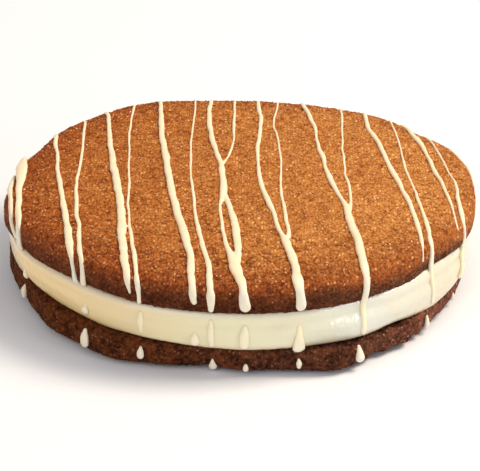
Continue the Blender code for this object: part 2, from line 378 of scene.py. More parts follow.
def crust_material(name, tones, blotch, grain_width, rim):
    """Gingerbread, baked from a rolled dough: a matt, sandy crust of small crumbs with sugar grains that
    catch the light. The hollows between the crumbs are painted dark as shade, and the crumb tips painted
    lighter. Tones are the light, the hollow and the sugar colour, on the left and on the right; the change
    to the right is partly a paler bake and partly painted light. Blotch is how far patches differ, and rim
    changes the tones toward an edge."""
    material, shader = new_material(name)
    around = add_node(material, "ShaderNodeTexCoord", output="Object")
    relief = add_node(material, "ShaderNodeAttribute", output="Fac", attribute_name="relief")
    across = add_node(material, "ShaderNodeSeparateXYZ", {0: around}, "X")
    # Paler on the right, in patches 10 mm wide: partly a paler bake, partly painted light from the window
    # on the right.
    patches = add_node(material, "ShaderNodeTexNoise",
                       {"Vector": around, "Scale": 1 / (10 * MM), "Detail": 3, "Roughness": 0.6}, "Fac")
    patchy = add_node(material, "ShaderNodeMapRange",
                      {"Value": patches, "From Min": 0.3, "From Max": 0.7, "To Min": -0.2,
                       "To Max": 0.2}, "Result")
    rightward = add_node(material, "ShaderNodeMapRange",
                         {"Value": across, "From Min": -34 * MM, "From Max": 30 * MM}, "Result")
    paler = add_node(material, "ShaderNodeMath", {0: rightward, 1: patchy}, 0, use_clamp=True)
    tip, hollow, sugar_tone = (
        add_node(material, "ShaderNodeMix", {"Factor": paler, 6: linear(left), 7: linear(right)}, 2,
                 data_type="RGBA") for left, right in tones
    )
    # The rolling pin drew the crumb out from front to back, by half its width.
    rolled = add_node(material, "ShaderNodeMapping", {"Vector": around, "Scale": (1.5, 1, 1.5)}, 0)
    # Flour and spice grain. The real one is finer, and this one is as coarse as it needs to show.
    grain = add_node(material, "ShaderNodeTexNoise",
                     {"Vector": rolled, "Scale": 1 / grain_width, "Detail": 2, "Roughness": 0.7}, "Fac")
    grainy = add_node(material, "ShaderNodeMapRange",
                      {"Value": grain, "From Min": 0.34, "From Max": 0.66, "To Min": -0.4,
                       "To Max": 0.4}, "Result")
    # Painted shade: by the relief, the hollows between the crumbs turn darker and the crumb tips lighter.
    relief_painted_shade = add_node(material, "ShaderNodeMapRange",
                      {"Value": relief, "From Min": -1.3, "From Max": 0.9, "To Min": 0.1,
                       "To Max": 0.9}, "Result")
    # Grains 0.8 mm wide, each a little lighter or darker. A few are sugar, with a core 0.5 mm wide.
    cells = add_node(material, "ShaderNodeTexVoronoi", {"Vector": rolled, "Scale": 1 / (0.8 * MM)})
    core = add_node(material, "ShaderNodeMapRange",
                    {"Value": cells.outputs["Distance"], "From Min": 0.45, "From Max": 0.2}, "Result")
    chosen = add_node(material, "ShaderNodeSeparateColor", {0: cells.outputs["Color"]}, 0)
    lucky = add_node(material, "ShaderNodeMapRange",
                     {"Value": chosen, "From Min": 0.72, "From Max": 0.95}, "Result")
    sugar = add_node(material, "ShaderNodeMath", {0: core, 1: lucky}, 0, operation="MULTIPLY")
    speckled = add_node(material, "ShaderNodeMapRange",
                        {"Value": chosen, "To Min": -0.2, "To Max": 0.2}, "Result")
    # Moist and dry spots of the dough, 2.1 mm wide.
    spots = add_node(material, "ShaderNodeTexNoise",
                     {"Vector": around, "Scale": 1 / (2.1 * MM), "Detail": 2, "Roughness": 0.5}, "Fac")
    shade = add_node(material, "ShaderNodeMapRange",
                     {"Value": spots, "From Min": 0.32, "From Max": 0.68, "To Min": -blotch,
                      "To Max": blotch}, "Result")
    for lighter in (relief_painted_shade, grainy, speckled):
        shade = add_node(material, "ShaderNodeMath", {0: shade, 1: lighter}, 0)
    shade = add_node(material, "ShaderNodeClamp", {"Value": shade}, 0)
    tip, hollow, sugar_tone = rim(material, around, relief, (tip, hollow, sugar_tone))
    crumb_colour = add_node(material, "ShaderNodeMix", {"Factor": shade, 6: hollow, 7: tip}, 2,
                            data_type="RGBA")
    colour = add_node(material, "ShaderNodeMix", {"Factor": sugar, 6: crumb_colour, 7: sugar_tone}, 2,
                      data_type="RGBA")
    # Fine relief of the crumb: each grain is round, and the flour grain lies on it.
    rounded = add_node(material, "ShaderNodeMapRange",
                       {"Value": cells.outputs["Distance"], "To Min": 1, "To Max": 0}, "Result")
    height = add_node(material, "ShaderNodeMath", {0: grain, 1: rounded}, 0)
    bump = add_node(material, "ShaderNodeBump",
                    {"Height": height, "Distance": 0.3 * MM, "Strength": 1.0}, "Normal")
    glossier = add_node(material, "ShaderNodeMapRange",
                        {"Value": sugar, "To Min": 0.8, "To Max": 0.35}, "Result")
    set_inputs(shader, {"Base Color": colour, "Normal": bump, "Roughness": glossier, "IOR": 1.45,
                        "Specular IOR Level": 0.08})
    return material


def pale_end(material, around, relief, tones):
    """The right end of the lower biscuit, which lay in the cooler part of the oven."""
    across = add_node(material, "ShaderNodeSeparateXYZ", {0: around}, "X")
    cooler = add_node(material, "ShaderNodeMapRange",
                      {"Value": across, "From Min": 19 * MM, "From Max": 31 * MM}, "Result")
    paler_tones = ("#84513E", "#42231A", "#B08468")
    return [
        add_node(material, "ShaderNodeMix", {"Factor": cooler, 6: tone, 7: linear(pale)}, 2,
                 data_type="RGBA") for tone, pale in zip(tones, paler_tones)
    ]


# Dark gingerbread: baked right through on the tray, matt and close to chocolate brown.
dark_gingerbread = crust_material(
    "dark_baked_gingerbread",
    tones=(("#6D3816", "#5F392A"), ("#2F1207", "#2A130D"), ("#81523A", "#8A6451")),
    blotch=0.32, grain_width=0.8 * MM, rim=pale_end
)
lower_biscuit = finished("lower_biscuit_crust", lower_mesh, dark_gingerbread)
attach(lower_biscuit, "root")
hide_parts("bottom_biscuit")


# ---------------------------------------------------------------------------------------------
# Cream. Whipped butter and vanilla cream, spread between the biscuits and smoothed round with a
# palette knife. It bulges a little unevenly and presses against both biscuits.

CREAM_VOXEL = 0.42 * MM
CREAM_SMOOTHING = 4
cream_mesh = remeshed(copied("cream_filling"), CREAM_VOXEL, CREAM_SMOOTHING)
cream_outline = outline_of("cream_filling", 8 * MM)
# Spread less far at the two ends, and squeezed up a little under the upper biscuit. Its foot stops
# short of the lower rim in some places and laps over it in others.
cream_bumps = ((-8, 16, -1.2), (-172, 12, -0.7))
cream_foot_rises = ((-156, 7, 0.75), (-140, 11, -0.35), (-125, 6, -0.25), (-87, 9, -0.25),
                    (-52, 5.5, 0.58), (-36, 6, -0.6), (-14, 9, 0.5))
cream_places, cream_normals = points_of(cream_mesh)
cream_angle = polar(cream_places)[0]
cream_strays = strayed(cream_angle, cream_bumps)
cream_rises = strayed(cream_angle, cream_foot_rises)
for k, (place, normal) in enumerate(zip(cream_places, cream_normals)):
    spot = Vector(place) / MM
    swirl = noise.noise(Vector((spot.x, spot.y, 2.5 * spot.z)) / 14)
    ripple = noise.noise(Vector((spot.x, spot.y, 3 * spot.z)) / 5 + Vector((4, 4, 4)))
    push = 0.32 + (0.16 * swirl + 0.06 * ripple) * (1 - abs(normal[2]))
    cream_places[k] += normal * push * MM
    cream_places[k][2] += 0.35 * MM * max(0, normal[2])
    cream_places[k][2] += cream_rises[k] * min(1, max(0, (7.6 - spot.z) / 1.6))
    # The upper corner is squeezed out level with the biscuit. At the front right the knife left a
    # flat that leans back a little and shines.
    squeezed = 0.45 * min(1, max(0, (spot.z - 9.4) / 1.4))
    flat = math.exp(-((math.degrees(cream_angle[k]) + 63) / 6) ** 2) * (1 - abs(normal[2]))
    squeezed -= 0.22 * flat * max(-1.5, min(2.8, spot.z - 8))
    outward = Vector((spot.x, spot.y, 0)).normalized()
    pressed = cream_strays[k] + squeezed * MM
    cream_places[k] += np.array(outward) * pressed * (math.hypot(spot.x, spot.y) > 30)
move_points(cream_mesh, cream_places)
close_hidden(cream_mesh, ways=(1, -1))
unroll(cream_mesh, cream_outline, shoulder=5.2 * MM, way=-1)

# Butter cream: fat and sugar beaten smooth. Soft, slightly wet gloss, light passing a little way in, and a
# faint marbling from the knife. It is painted from butter yellow on the left, for the warm light bounced
# from the crust and the shade there, to ivory on the right.
butter_cream, cream_shader = new_material("whipped_butter_cream")
cream_around = add_node(butter_cream, "ShaderNodeTexCoord", output="Object")
cream_across = add_node(butter_cream, "ShaderNodeSeparateXYZ", {0: cream_around}, "X")
cream_up = add_node(butter_cream, "ShaderNodeSeparateXYZ", {0: cream_around}, "Z")
# Painted bounce light and shade: yellower on the left, paler toward the right.
bounce_shade_share = add_node(butter_cream, "ShaderNodeMapRange",
                     {"Value": cream_across, "From Min": -40 * MM, "From Max": 38 * MM}, "Result")
bounce_shade_ramp = add_node(butter_cream, "ShaderNodeValToRGB", {"Fac": bounce_shade_share})
cream_tones = ("#F2D08A", "#E4D3A6", "#E0DFBE", "#D9DACE", "#D4CAAC")
for share in (0.3, 0.52, 0.8):
    bounce_shade_ramp.color_ramp.elements.new(share)
for stop, tone in zip(bounce_shade_ramp.color_ramp.elements, cream_tones):
    stop.color = linear(tone)
veins = add_node(butter_cream, "ShaderNodeTexNoise",
                 {"Vector": cream_around, "Scale": 1 / (11 * MM), "Detail": 3, "Distortion": 0.6}, "Fac")
# Yellower veins 11 mm wide. Just under the upper biscuit the cream is painted a little grey, as shade
# under its overhang, and it took up crumbs along its foot.
cream_colour = bounce_shade_ramp.outputs["Color"]
for value, start, end, most, tone in (
    (veins, 0.5, 0.75, 0.2, "#EBCF98"),
    # Painted shade: greyer just under the upper biscuit.
    (cream_up, 10.6 * MM, 11.3 * MM, 0.5, "#E0DBD6"),
    (cream_up, 6.0 * MM, 5.3 * MM, 0.45, "#D6BD97"),
):
    share = add_node(butter_cream, "ShaderNodeMapRange",
                     {"Value": value, "From Min": start, "From Max": end, "To Max": most}, "Result")
    cream_colour = add_node(butter_cream, "ShaderNodeMix",
                            {"Factor": share, 6: cream_colour, 7: linear(tone)}, 2, data_type="RGBA")
# Ripples of the knife, 1.6 mm wide. The wet skin puckers over the sugar in the cream, so that a gloss
# breaks up into dots; they are finer in truth, and drawn 0.8 mm wide so that they show.
knife = add_node(butter_cream, "ShaderNodeTexNoise",
                 {"Vector": cream_around, "Scale": 1 / (1.6 * MM), "Detail": 3}, "Fac")
knife_bump = add_node(butter_cream, "ShaderNodeBump",
                      {"Height": knife, "Distance": 0.3 * MM, "Strength": 0.45}, "Normal")
pucker = add_node(butter_cream, "ShaderNodeTexNoise",
                  {"Vector": cream_around, "Scale": 1 / (0.8 * MM), "Detail": 2}, "Fac")
pucker_bump = add_node(butter_cream, "ShaderNodeBump",
                       {"Height": pucker, "Distance": 0.12 * MM, "Strength": 1.0}, "Normal")
set_inputs(cream_shader, {
    "Base Color": cream_colour, "Normal": knife_bump, "Roughness": 0.38, "IOR": 1.46,
    "Coat Normal": pucker_bump, "Coat Weight": 1.0, "Coat Roughness": 0.09,
    "Subsurface Weight": 0.25, "Subsurface Radius": (1.0, 0.7, 0.4), "Subsurface Scale": 1.2 * MM,
})
cream = finished("cream_layer", cream_mesh, butter_cream)
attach(cream, "root")
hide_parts("cream_filling")


# ---------------------------------------------------------------------------------------------
# Upper biscuit. The same gingerbread, baked a little lighter: an orange-brown, sandy top with the
# rim and the side wall browned dark, most of all in front, a little left of the middle.

upper_mesh = remeshed(copied("top_biscuit"), CRUST_VOXEL, CRUST_SMOOTHING)
cut_outline = outline_of("top_biscuit", 14 * MM)
# The dough's rim spread unevenly, and its underside lifted a little at the front.
upper_bumps = ((11, 7, 0.35), (24, 9, 0.85), (43, 9, 0.55), (60, 9, 0.25), (73, 8, 0.35), (86, 6, 0.25),
               (113, 9, 0.65), (140, 10, 0.2), (160, 6, 0.3), (60, 60, 0.12), (177, 9, -0.85),
               (-171, 6, 0.4))
underside_lifts = ((-158, 7, 0.35), (-132, 9, 0.2), (-122, 9, 0.3), (-98, 16, 0.18), (-66, 5, -0.1),
                   (-55, 4, 0.2), (-45, 4, -0.35), (-26, 5, 0.15))


def upper_outline(angle):
    return cut_outline(angle) + strayed(angle, upper_bumps)


# The flat top turns down into the wall from this height on.
SHOULDER_TOP = 16.6 * MM


def edge_way(angle, reach, height):
    """How far a spot is down the wall, or, below nought, in from the rim, in millimetres."""
    return (SHOULDER_TOP - np.minimum(height, SHOULDER_TOP) - (upper_outline(angle) - reach)) / MM


upper_places = points_of(upper_mesh)[0]
upper_angle, upper_reach = polar(upper_places)
near_wall = np.clip((upper_reach - WALL_START) / WALL_BLEND, 0, 1)
grown = strayed(upper_angle, upper_bumps) * near_wall
upper_places[:, :2] *= (1 + grown / np.maximum(upper_reach, MM))[:, None]
low_down = np.clip((14 * MM - upper_places[:, 2]) / (2 * MM), 0, 1)
upper_places[:, 2] += strayed(upper_angle, underside_lifts) * near_wall * low_down
move_points(upper_mesh, upper_places)
smooth_upper = upper_mesh.copy()
upper_way = edge_way(upper_angle, upper_reach + grown, upper_places[:, 2])


def upper_coarseness(spot, normal):
    near_rim = (math.hypot(spot.x, spot.y) - 30) / 9
    return min(0.7, max(0, near_rim + 0.5 * noise.noise(spot / 7))) * (0.4 + 0.6 * max(0, normal[2]))


upper_places = crumbly(upper_mesh, upper_coarseness)
move_points(upper_mesh, upper_places)
keep_value(upper_mesh, "edge_way", upper_way)
close_hidden(upper_mesh, ways=(-1,))
unroll(upper_mesh, upper_outline, shoulder=SHOULDER_TOP, way=1)


def browned_rim(material, around, relief, tones):
    """Cracks the crust, and browns it from the shoulder down and further in, with a ragged edge."""
    across = add_node(material, "ShaderNodeSeparateXYZ", {0: around}, "X")
    forward = add_node(material, "ShaderNodeSeparateXYZ", {0: around}, "Y")
    # What changes from left to right: from where to where, in millimetres, and its two values. The
    # crust cracked less and browned less, but turned burnt sooner and in a sharper step. The last two
    # are for its colours.
    uncracked, cooler, sharper, sharpest, sooner, leftward, rightward = (
        add_node(material, "ShaderNodeMapRange",
                 {"Value": across, "From Min": start * MM, "From Max": end * MM, "To Min": first,
                  "To Max": last}, "Result")
        for start, end, first, last in (
            (2, 20, 0, -0.1), (4, 35, 0, -2.9), (7, 14, 1, 2), (26, 37, 0, 1.2), (31, 37, 0.6, 1.9),
            (-26, -7, 0, 1), (2, 28, 0, 1)
        )
    )
    # Short cracks where the crust shrank as it dried, most of them toward the front. They run where
    # a noise of 2.8 mm crosses its middle, in patches of 3.5 mm.
    shrunk = add_node(material, "ShaderNodeTexNoise",
                      {"Vector": around, "Scale": 1 / (2.8 * MM), "Detail": 2, "Roughness": 0.5,
                       "Distortion": 0.8}, "Fac")
    apart = add_node(material, "ShaderNodeMath", {0: shrunk, 1: 0.5}, 0, operation="SUBTRACT")
    apart = add_node(material, "ShaderNodeMath", {0: apart}, 0, operation="ABSOLUTE")
    crack = add_node(material, "ShaderNodeMapRange",
                     {"Value": apart, "From Min": 0.045, "From Max": 0.018}, "Result")
    dried = add_node(material, "ShaderNodeTexNoise",
                     {"Vector": around, "Scale": 1 / (3.5 * MM), "Detail": 1}, "Fac")
    in_front = add_node(material, "ShaderNodeMapRange",
                        {"Value": forward, "From Min": -14 * MM, "From Max": -31 * MM, "To Min": -0.14,
                         "To Max": 0.08}, "Result")
    for drier in (in_front, uncracked):
        dried = add_node(material, "ShaderNodeMath", {0: dried, 1: drier}, 0)
    dried = add_node(material, "ShaderNodeMapRange",
                     {"Value": dried, "From Min": 0.5, "From Max": 0.58, "To Max": 0.75}, "Result")
    crack = add_node(material, "ShaderNodeMath", {0: crack, 1: dried}, 0, operation="MULTIPLY")
    tones = [
        add_node(material, "ShaderNodeMix", {"Factor": crack, 6: tone, 7: linear("#6A3012")}, 2,
                 data_type="RGBA") for tone in tones
    ]
    # The way down the wall is moved by a ragged edge 3.2 mm long, by the hollows, which are painted brown
    # sooner as shade, and by the heat.
    way = add_node(material, "ShaderNodeAttribute", output="Fac", attribute_name="edge_way")
    ragged = add_node(material, "ShaderNodeTexNoise",
                      {"Vector": around, "Scale": 1 / (3.2 * MM), "Detail": 4, "Roughness": 0.65}, "Fac")
    wander = add_node(material, "ShaderNodeMapRange",
                      {"Value": ragged, "From Min": 0.3, "From Max": 0.7, "To Min": -0.8,
                       "To Max": 0.8}, "Result")
    # Painted shade: the hollows of the relief turn brown and burnt sooner, so they look darker.
    hollow_painted_shade_shift = add_node(material, "ShaderNodeMapRange",
                             {"Value": relief, "From Min": -1.2, "From Max": 1.0, "To Min": 0.45,
                              "To Max": -0.3}, "Result")
    # The hottest place on the tray was in front, a little left of the middle.
    from_heat = add_node(material, "ShaderNodeVectorMath",
                         {0: around, 1: (-12 * MM, -38 * MM, 15 * MM)}, "Value", operation="DISTANCE")
    scorched = add_node(material, "ShaderNodeMapRange",
                        {"Value": from_heat, "From Min": 2 * MM, "From Max": 34 * MM, "To Min": 1.25,
                         "To Max": 0}, "Result", interpolation_type="SMOOTHSTEP")
    # The back and the right stood away from the heat and stayed light.
    back_right = add_node(material, "ShaderNodeVectorMath", {0: around, 1: (0.64, 0.77, 0)}, "Value",
                          operation="DOT_PRODUCT")
    spared = add_node(material, "ShaderNodeMapRange",
                      {"Value": back_right, "From Min": -4 * MM, "From Max": 22 * MM, "To Min": 0,
                       "To Max": -2.4}, "Result", interpolation_type="SMOOTHSTEP")
    shifted = way
    for shift in (scorched, spared, cooler, wander, hollow_painted_shade_shift):
        shifted = add_node(material, "ShaderNodeMath", {0: shifted, 1: shift}, 0)
    toasted = add_node(material, "ShaderNodeMapRange",
                       {"Value": shifted, "From Min": -10.5, "From Max": 0.6, "To Max": 0.85}, "Result")
    # The burnt rim deepens slowly toward the cream in front and at once on the right.
    deepening = add_node(material, "ShaderNodeMath", {0: shifted, 1: sooner}, 0)
    sudden = add_node(material, "ShaderNodeMath", {0: sharper, 1: sharpest}, 0)
    deepening = add_node(material, "ShaderNodeMath", {0: deepening, 1: sudden}, 0, operation="MULTIPLY")
    burnt = add_node(material, "ShaderNodeMapRange", {"Value": deepening, "From Max": 5.6}, "Result",
                     interpolation_type="SMOOTHSTEP")
    # It is darkest in the middle of the front, redder on the left and paler on the right. Its light
    # parts are rubbed to the sugar's colour in places.
    browner = ("#A85427", "#5E2814", "#DBA06C")
    brownest = (("#65331B", "#562A13", "#663C27"), ("#37180B", "#2E1207", "#381B13"),
                ("#7C4629", "#6A3A22", "#84563A"))
    burnt_tones = []
    for left, middle, right in brownest:
        burnt_tone = linear(left)
        for share, next_tone in ((leftward, middle), (rightward, right)):
            burnt_tone = add_node(material, "ShaderNodeMix",
                                  {"Factor": share, 6: burnt_tone, 7: linear(next_tone)}, 2,
                                  data_type="RGBA")
        burnt_tones.append(burnt_tone)
    scuffed = add_node(material, "ShaderNodeMapRange",
                       {"Value": ragged, "From Min": 0.42, "From Max": 0.66}, "Result")
    burnt_tones[0] = add_node(material, "ShaderNodeMix",
                              {"Factor": scuffed, 6: burnt_tones[0], 7: burnt_tones[2]}, 2,
                              data_type="RGBA")
    browned_tones = []
    for tone, brown, burnt_tone in zip(tones, browner, burnt_tones):
        for share, next_tone in ((toasted, linear(brown)), (burnt, burnt_tone)):
            tone = add_node(material, "ShaderNodeMix", {"Factor": share, 6: tone, 7: next_tone}, 2,
                            data_type="RGBA")
        browned_tones.append(tone)
    return browned_tones


# Golden gingerbread: lightly baked, orange-brown and sandy, with many pale sugar specks.
golden_gingerbread = crust_material(
    "golden_baked_gingerbread",
    tones=(("#C97A39", "#E19C56"), ("#7A3A14", "#95501F"), ("#EDAE70", "#FACC92")),
    blotch=0.1, grain_width=0.58 * MM, rim=browned_rim
)
upper_biscuit = finished("upper_biscuit_crust", upper_mesh, golden_gingerbread)
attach(upper_biscuit, "root")
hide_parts("top_biscuit")


# ---------------------------------------------------------------------------------------------
# Drizzled icing. White sugar icing run off a spoon in thin strands from back to front, which set
# over the top, ran down the edge of the upper biscuit and ended there in drops.

ICING_VOXEL = 0.14 * MM
ICING_SMOOTHING = 5
# In millimetres: a ring of icing at each step along a strand, sunk this far, and no narrower.
ICING_STEP = 0.4
ICING_SINK = 0.3
THINNEST = 0.42
RING_POINTS = 12
# The quarter turn from the top down to the wall: its centre's height, its width and its length.
SHOULDER_CENTRE = 14.9 * MM
SHOULDER_WIDTH = 2.0 * MM
SHOULDER_LENGTH = 2.9 * MM

whole = bmesh.new()
for layer_mesh in (smooth_lower, cream_mesh, smooth_upper):
    whole.from_mesh(layer_mesh)
cookie_tree = BVHTree.FromBMesh(whole)
whole.free()
bpy.data.meshes.remove(smooth_lower)
bpy.data.meshes.remove(smooth_upper)


def wall_way(angle, height):
    """How far from the middle a height on the side is, measured over the top and down the edge."""
    return (upper_outline(angle) - SHOULDER_WIDTH + SHOULDER_LENGTH + SHOULDER_CENTRE) / MM - height


def laid_on(x, y):
    """Where a spot of the unrolled surface lies on the cookie, and which way is out, in millimetres."""
    angle = math.atan2(y, x)
    way = math.hypot(x, y) * MM
    outward = Vector((math.cos(angle), math.sin(angle), 0))
    up = Vector((0, 0, 1))
    flat_reach = float(upper_outline(angle)) - SHOULDER_WIDTH
    if way <= flat_reach:
        target = way * outward + SHOULDER_TOP * up
        out = up
    elif way <= flat_reach + SHOULDER_LENGTH:
        bend = (way - flat_reach) / SHOULDER_LENGTH * math.pi / 2
        target = flat_reach * outward + SHOULDER_CENTRE * up
        out = math.sin(bend) * outward + math.cos(bend) * up
    else:
        target = (SHOULDER_CENTRE - (way - flat_reach - SHOULDER_LENGTH)) * up
        out = outward
    hit = cookie_tree.ray_cast(target + CLEAR_OF_ALL * out, -out)[0]
    return hit / MM, out


def curve_through(points, step):
    """Points a step apart on a smooth curve through a few rows of x, y and width."""
    rows = [np.array(p, float) for p in points]
    rows = [2 * rows[0] - rows[1]] + rows + [2 * rows[-1] - rows[-2]]
    path = []
    for a, b, c, d in zip(rows, rows[1:], rows[2:], rows[3:]):
        count = max(1, round(float(np.hypot(*(c - b)[:2])) / step))
        for k in range(count):
            t = k / count
            path.append(0.5 * (2 * b + (c - a) * t + (2 * a - 5 * b + 4 * c - d) * t ** 2
                               + (3 * b - a - 3 * c + d) * t ** 3))
    return path + [rows[-2]]


def run_icing(points, plump, seed):
    """One strand: rounded rings of icing along a path, with a bead at each end, as a closed bmesh."""
    path = curve_through(points, ICING_STEP)
    spots, outs, widths = [], [], []
    for k, (x, y, width) in enumerate(path):
        place = Vector((x, y, seed * 13.7))
        sway = 0.15 * noise.noise(place / 3.1) + 0.08 * noise.noise(place / 1.3)
        swell = 1 + 0.16 * noise.noise(place / 2.6) + 0.12 * noise.noise(place / 1.2)
        spot, out = laid_on(x + sway, y)
        spots.append(spot)
        outs.append(out)
        widths.append(max(THINNEST, width * swell))
    count = len(spots)
    evened = []
    for k in range(count):
        reach = min(3, k, count - 1 - k)
        evened.append(sum(spots[k - reach:k + reach + 1], Vector()) / (2 * reach + 1))
    strand = bmesh.new()
    rings = []
    for k, (spot, out, width) in enumerate(zip(evened, outs, widths)):
        along = evened[min(k + 1, count - 1)] - evened[max(k - 1, 0)]
        side = along.cross(out).normalized()
        rise = side.cross(along).normalized()
        height = plump * width
        half_high = (height + ICING_SINK) / 2
        centre = spot + rise * (height - ICING_SINK) / 2
        ring = Matrix.Identity(4)
        ring.col[0] = (*(side * width / 2 * MM), 0)
        ring.col[1] = (*(rise * half_high * MM), 0)
        ring.col[2] = (*(along.normalized() * width / 2 * MM), 0)
        ring.col[3] = (*(centre * MM), 1)
        rings.append(ring)
    bmesh.ops.create_circle(strand, cap_ends=True, segments=RING_POINTS, radius=1, matrix=rings[0])
    open_edges = list(strand.edges)
    for before, after in zip(rings, rings[1:]):
        grown = bmesh.ops.extrude_edge_only(strand, edges=open_edges)["geom"]
        moved = [g for g in grown if isinstance(g, bmesh.types.BMVert)]
        open_edges = [g for g in grown if isinstance(g, bmesh.types.BMEdge)]
        bmesh.ops.transform(strand, matrix=after @ before.inverted(), verts=moved)
    bmesh.ops.contextual_create(strand, geom=open_edges)
    for end in (rings[0], rings[-1]):
        bmesh.ops.create_uvsphere(strand, u_segments=RING_POINTS, v_segments=8, radius=1, matrix=end)
    bmesh.ops.recalc_face_normals(strand, faces=strand.faces)
    return strand


def joined(parts):
    """Several bmeshes as one; they are used up."""
    together = bmesh.new()
    for part in parts:
        passing = bpy.data.meshes.new("passing")
        part.to_mesh(passing)
        part.free()
        together.from_mesh(passing)
        bpy.data.meshes.remove(passing)
    return together


# Royal icing: sugar and egg white, poured and dried. Smooth, ivory white, with a soft satin gloss,
# a little light passing through its thin edges, warmer where it lies thin on the crust, and painted
# lighter on the top and greyer down the sides, as light and shade.
royal_icing, icing_shader = new_material("poured_royal_icing")
icing_around = add_node(royal_icing, "ShaderNodeTexCoord", output="Object")
icing_up = add_node(royal_icing, "ShaderNodeSeparateXYZ", {0: icing_around}, "Z")
icing_height = add_node(royal_icing, "ShaderNodeMapRange", {"Value": icing_up, "From Max": 18 * MM},
                        "Result")
# Painted light and shade by height: lighter and warmer on the top, where it also took up honey colour from
# the crust, and greyer down the walls and on the low drops, as painted shade.
poured = add_node(royal_icing, "ShaderNodeValToRGB", {"Fac": icing_height})
# Painted light and shade: the top is lighter and warmer, the walls and the low drops greyer.
icing_tones = ("#DEDAD8", "#ECE6D0", "#EDE5C0", "#E0DDCF", "#E1DECF", "#FFEBCE")
for share in (0.3, 0.58, 0.68, 0.86):
    poured.color_ramp.elements.new(share)
for stop, tone in zip(poured.color_ramp.elements, icing_tones):
    stop.color = linear(tone)
poured.color_ramp.elements[5].position = 0.94
# Clouds of honey colour 4 mm wide, and the dimples of drying, drawn 0.8 mm wide so that they show.
icing_clouds = add_node(royal_icing, "ShaderNodeTexNoise",
                        {"Vector": icing_around, "Scale": 1 / (4 * MM), "Detail": 3}, "Fac")
icing_cloudy = add_node(royal_icing, "ShaderNodeMapRange",
                        {"Value": icing_clouds, "From Min": 0.35, "From Max": 0.7, "To Max": 0.4},
                        "Result")
icing_colour = add_node(royal_icing, "ShaderNodeMix",
                        {"Factor": icing_cloudy, 6: poured.outputs["Color"], 7: linear("#F6DFB4")}, 2,
                        data_type="RGBA")
icing_dimples = add_node(royal_icing, "ShaderNodeTexNoise",
                         {"Vector": icing_around, "Scale": 1 / (0.8 * MM), "Detail": 2}, "Fac")
icing_bump = add_node(royal_icing, "ShaderNodeBump",
                      {"Height": icing_dimples, "Distance": 0.08 * MM, "Strength": 0.4}, "Normal")
set_inputs(icing_shader, {
    "Base Color": icing_colour, "Normal": icing_bump, "Roughness": 0.35, "IOR": 1.48,
    "Subsurface Weight": 0.2, "Subsurface Radius": (1.0, 0.75, 0.45), "Subsurface Scale": 0.5 * MM,
})

# How high a strand stands, for its width.
STRAND_PLUMP = 0.4
